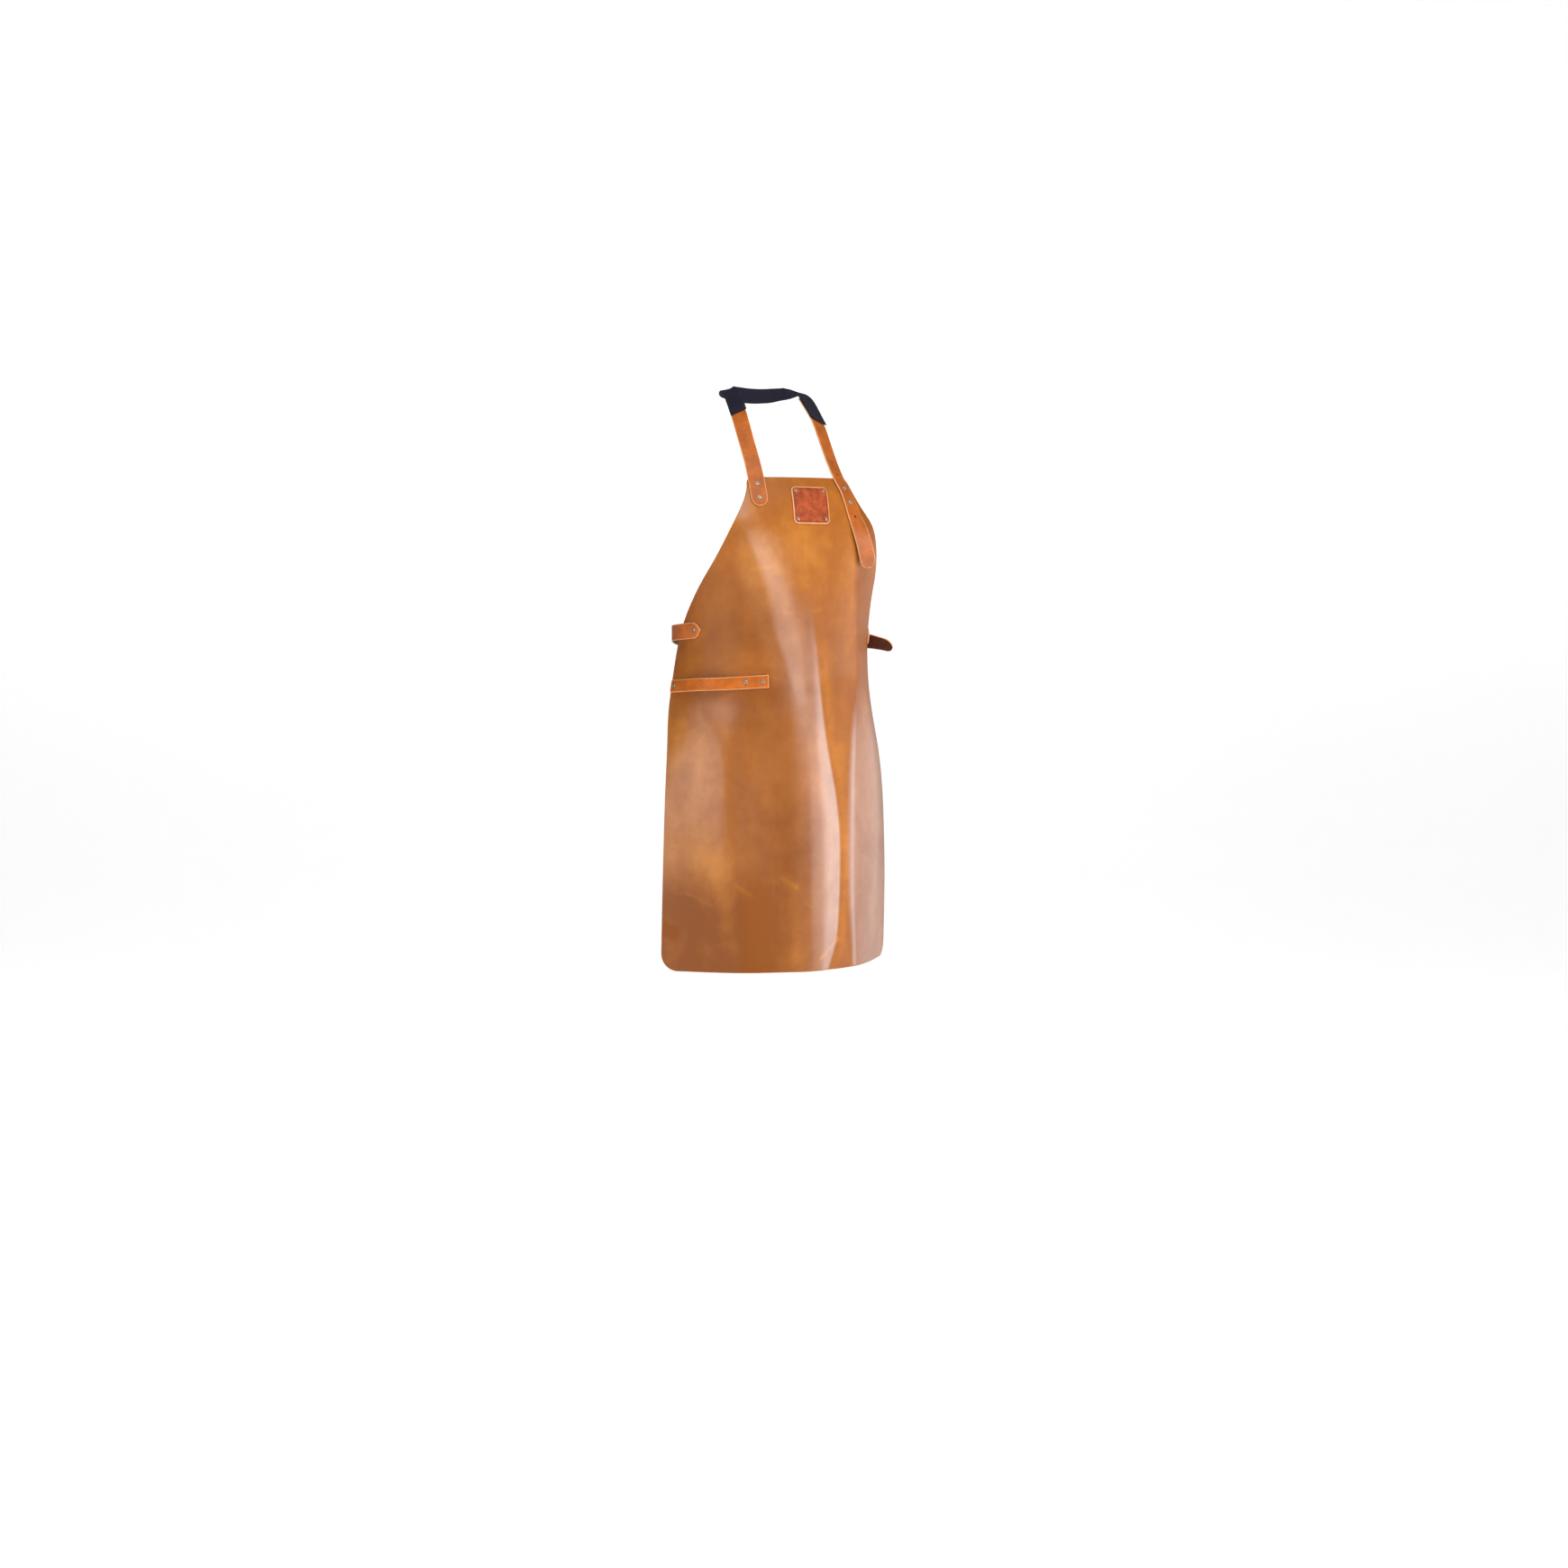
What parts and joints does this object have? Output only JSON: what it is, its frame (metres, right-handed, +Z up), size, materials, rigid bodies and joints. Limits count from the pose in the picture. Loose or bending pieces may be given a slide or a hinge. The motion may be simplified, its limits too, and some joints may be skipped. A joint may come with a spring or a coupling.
{
  "type": "leather apron",
  "caption": "Leather work apron as worn: bib and skirt cut from a single hide, riveted neck straps with a cloth band, a waist strap, a towel loop and a bare patch.",
  "frame": {"origin": "nape of the neck: the middle of the neck band's inner face, where the apron hangs", "axes": "+Z up, the wearer faces -Y, +X to the wearer's left"},
  "size_m": [0.4447, 0.2789, 0.9943],
  "materials": {
    "hide": "oiled pull-up leather, broad soft gloss",
    "strap_leather": "smooth orange-tan strap leather with pale cut edges",
    "patch_leather": "red-brown leather with a tooled border",
    "band_cloth": "dark navy woven band",
    "rivet_metal": "aged nickel"
  },
  "bodies": {
    "root": {"apron_panel": "hide", "neck_strap_fixed": "strap_leather", "neck_strap_adjust": "strap_leather", "waist_strap": "strap_leather", "side_tab": "strap_leather", "towel_loop": "strap_leather", "bib_patch": "patch_leather", "neck_band": "band_cloth", "patch_rivet_1": "rivet_metal", "patch_rivet_2": "rivet_metal", "patch_rivet_3": "rivet_metal", "patch_rivet_4": "rivet_metal", "neck_rivet_1": "rivet_metal", "neck_rivet_2": "rivet_metal", "adjust_stud_1": "rivet_metal", "adjust_stud_2": "rivet_metal", "waist_rivet": "rivet_metal", "side_rivet": "rivet_metal", "waist_stud": "rivet_metal", "towel_rivet_1": "rivet_metal", "towel_rivet_2": "rivet_metal", "towel_rivet_3": "rivet_metal"}
  },
  "joints": []
}
